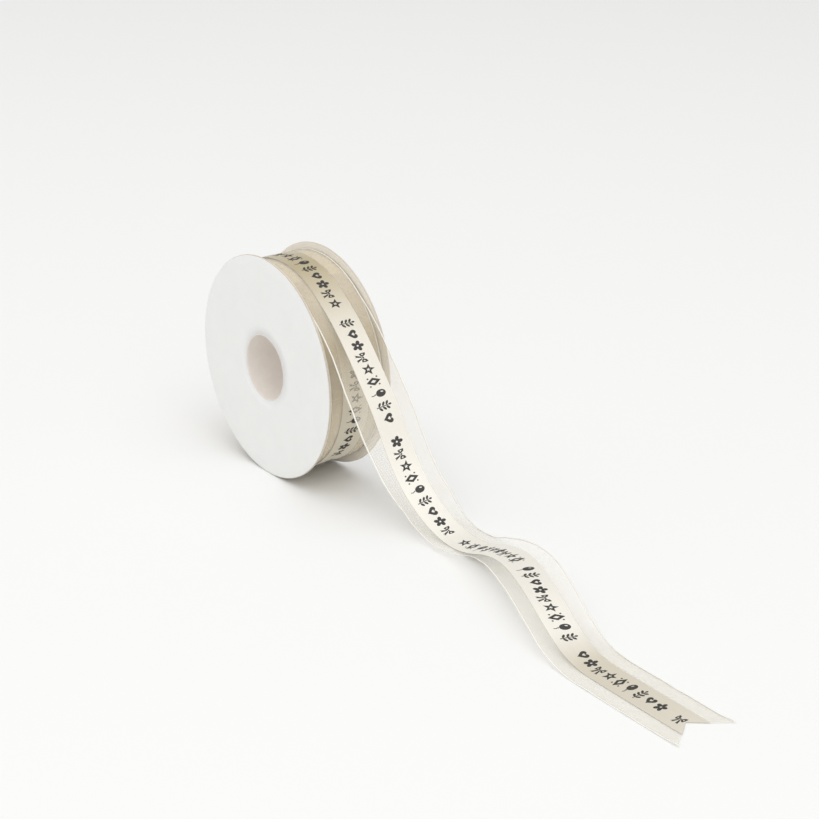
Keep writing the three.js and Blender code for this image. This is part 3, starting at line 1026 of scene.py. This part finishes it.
hot_melt, clear_film = glue_material(), tape_material()
for label in ("near", "far"):
    node = f"{label}_glue_bead"
    bead_outer, bead_low, bead_high = ring_sizes(node)
    side = 1 if label == "far" else -1
    at_flange, at_tube = (bead_high, bead_low) if side > 0 else (bead_low, bead_high)
    root = tube_outer + BEAD_GAP
    slope = [
        (root + (bead_outer - root) * math.sin(math.radians(a)),
         at_flange + (at_tube - at_flange) * math.cos(math.radians(a)))
        for a in range(0, 91, 15)
    ]

    def swelling(radius, y, angle, root=root, side=side):
        lobes = 0.88 + 0.07 * math.sin(9 * angle + side) + 0.05 * math.sin(17 * angle)
        return root + (radius - root) * lobes, y

    bead = turned(f"{node}_ring", [*slope, (root, at_flange)], swelling, BEAD_SEGMENTS)
    on_spool(bead, hot_melt, "hot_melt_glue", node)
start_tape = frame["nodes"]["start_tape"]
start_tape.data.materials.clear()
start_tape.data.materials.append(clear_film)
print("glue and tape done")

# %% [markdown]
# ## The wound ribbon
# Under the outermost turn lie many more, and each shows only as a fine line at its selvedge,
# because no two turns lie exactly alike. So the pack is one turned ring. Its two sides are
# ridged, a ridge for each few turns, and near its edges the outer surface has the soft steps of
# the selvedges just beneath. Many layers of sheer cloth together look tan and solid.

# %% Wound pack
PACK_GAP = 0.45 * MM  # from the CAD solid's surface to the pack's, the room for the outer turn
RIDGE_PITCH = 0.7 * MM  # one ribbon layer is about 0.3 mm, drawn coarser
RIDGE_DEPTH = 0.16 * MM
SELVEDGE_LINES = (10.6, 11.3, 11.9, 12.2)  # where lower turns' selvedges press through, in mm
LINE_WIDTH = 0.12 * MM
LINE_HEIGHT = 0.07 * MM
SHOULDER = 0.1 * MM  # how far the edges of the outer surface are drawn in
CORE_GAP = 0.25 * MM  # between the tube and the first turn
SURFACE_ROWS = 120

pack_outer = wound_radius - PACK_GAP
pack_inner = tube_outer + CORE_GAP
pack_half = half_width - 2 * SHOULDER


def pack_profile():
    """The section of the pack, from its near side over its outer surface to its far side."""
    side_rows = np.arange(pack_inner, pack_outer - 2 * SHOULDER, RIDGE_PITCH / 4)
    draw_in = RIDGE_DEPTH * (0.5 - 0.5 * np.cos(2 * math.pi * (side_rows - pack_inner) / RIDGE_PITCH))
    near_side = [(r, -pack_half + d) for r, d in zip(side_rows, draw_in)]
    surface_rows = np.linspace(-pack_half, pack_half, SURFACE_ROWS)
    lift = sum(
        LINE_HEIGHT * np.exp(-((np.abs(surface_rows) - line * MM) / LINE_WIDTH) ** 2)
        for line in SELVEDGE_LINES
    )
    surface = [(pack_outer - SHOULDER + h, y) for h, y in zip(lift, surface_rows)]
    far_side = [(r, -y) for r, y in reversed(near_side)]
    return near_side + surface + far_side


def wound_material():
    """Dozens of turns of the ribbon seen together: tan, with finer tan lines along the turns."""
    material, tree = new_material("wound_ribbon_layers")
    place = add_node(tree, "ShaderNodeTexCoord").outputs["Object"]
    uv = add_node(tree, "ShaderNodeUVMap", uv_map="lay").outputs["UV"]
    drawn = add_node(tree, "ShaderNodeMapping", {"Vector": uv, "Scale": (25.0, 3500.0, 1.0)})
    lines = add_node(tree, "ShaderNodeTexNoise", {"Vector": drawn.outputs[0], "Scale": 1.0, "Detail": 3.0})
    relief = add_node(tree, "ShaderNodeBump", {
        "Height": plain_weave(tree, uv), "Strength": 0.3, "Distance": 0.05 * MM})
    layers = add_node(tree, "ShaderNodeMix", {
        0: lines.outputs["Fac"], 6: linear("#CDBB97"), 7: linear("#EBDDBF")}, data_type="RGBA")
    across = add_node(tree, "ShaderNodeSeparateXYZ", {"Vector": place}).outputs["Y"]
    from_middle = add_node(tree, "ShaderNodeMath", {0: across}, operation="ABSOLUTE")
    at_edge = add_node(tree, "ShaderNodeMapRange", {
        "Value": from_middle.outputs[0], "From Min": 11.0 * MM, "From Max": 12.2 * MM,
        "To Min": 0.0, "To Max": 0.6})
    colour = add_node(tree, "ShaderNodeMix", {
        0: at_edge.outputs[0], 6: layers.outputs[2], 7: linear("#DDD2B8")}, data_type="RGBA")
    cloth = add_node(tree, "ShaderNodeBsdfPrincipled", {
        "Base Color": colour.outputs[2], "Roughness": 0.5, "IOR": 1.6, "Sheen Weight": 0.2,
        "Sheen Roughness": 0.4, "Normal": relief.outputs[0]})
    add_node(tree, "ShaderNodeOutputMaterial", {"Surface": cloth.outputs[0]})
    return material


pack = turned("ribbon_wound_pack", pack_profile())
on_spool(pack, wound_material(), "ribbon", "wound_ribbon")
print(len(pack.data.polygons), "faces in the pack")

# %% [markdown]
# ## Table and light
# A white table in a white room. Most of the light comes from the room itself, so shadows are
# faint and only the places under the spool go dark. A wide softbox hangs overhead, a little
# towards the camera, so the table fades slightly into the distance. Two boxes at the front, the
# right one the stronger, keep the near flange white and round off the roll. Behind the spool
# stand two panels that add no plain light, but show in the satin's gloss wherever the ribbon
# leans towards them. The world is brighter to the camera than it lights, to match the table.

# %% Table
TABLE_HALF = 2.0

table = piece_from("table", [(-TABLE_HALF, -TABLE_HALF, 0), (TABLE_HALF, -TABLE_HALF, 0),
                             (TABLE_HALF, TABLE_HALF, 0), (-TABLE_HALF, TABLE_HALF, 0)], [(0, 1, 2, 3)])
table_white, tree = new_material("matt_white_table")
paint = add_node(tree, "ShaderNodeBsdfPrincipled", {
    "Base Color": linear("#F6F6F5"), "Roughness": 0.9, "Specular IOR Level": 0.0})
add_node(tree, "ShaderNodeOutputMaterial", {"Surface": paint.outputs[0]})
table.data.materials.append(table_white)

# %% Light
WORLD_LIGHT = 0.66
WORLD_SEEN = 0.86

world = bpy.data.worlds.new("white_room")
bpy.context.scene.world = world
world.use_nodes = True
world.node_tree.nodes.clear()
seen = add_node(world.node_tree, "ShaderNodeLightPath").outputs["Is Camera Ray"]
strength = add_node(world.node_tree, "ShaderNodeMapRange", {
    "Value": seen, "To Min": WORLD_LIGHT, "To Max": WORLD_SEEN})
room = add_node(world.node_tree, "ShaderNodeBackground", {
    "Color": (1.0, 1.0, 1.0, 1.0), "Strength": strength.outputs[0]})
add_node(world.node_tree, "ShaderNodeOutputWorld", {"Surface": room.outputs[0]})

LIT_PLACE = Vector((0.06, 0.0, 0.04))  # between the spool and the wave


def soft_light(name, direction, distance, size, watts, sheen_only=False):
    """A rectangular light that faces the spool. It may light nothing, but show in gloss."""
    data = bpy.data.lights.new(name, "AREA")
    data.shape = "RECTANGLE"
    data.size, data.size_y = size
    data.energy = watts
    light = bpy.data.objects.new(name, data)
    bpy.context.scene.collection.objects.link(light)
    towards = Vector(direction).normalized()
    light.location = LIT_PLACE + distance * towards
    light.rotation_euler = towards.to_track_quat("Z", "Y").to_euler()
    light.visible_diffuse = not sheen_only
    return light


soft_light("overhead_softbox", (0.14, -0.1, 1.0), 1.6, (2.4, 2.4), 8.5)
soft_light("left_softbox", (-0.6, -0.5, 0.8), 2.2, (2.0, 2.0), 4.5)
soft_light("right_softbox", (0.65, -0.4, 0.85), 2.2, (2.0, 2.0), 11)
soft_light("low_sheen_panel", (0.69, 0.55, 0.48), 1.2, (1.4, 1.0), 6, sheen_only=True)
soft_light("high_sheen_panel", (0.05, 0.55, 0.83), 1.2, (1.0, 1.0), 2, sheen_only=True)
bpy.context.scene.view_settings.view_transform = "Standard"

# %% [markdown]
# ## Finish
# The flat ornaments and the route were only tools, so they go. The looks have to stay inside
# the CAD model's size.

# %% Finish
for tool in [*ornament_set.objects, route_object]:
    bpy.data.objects.remove(tool)
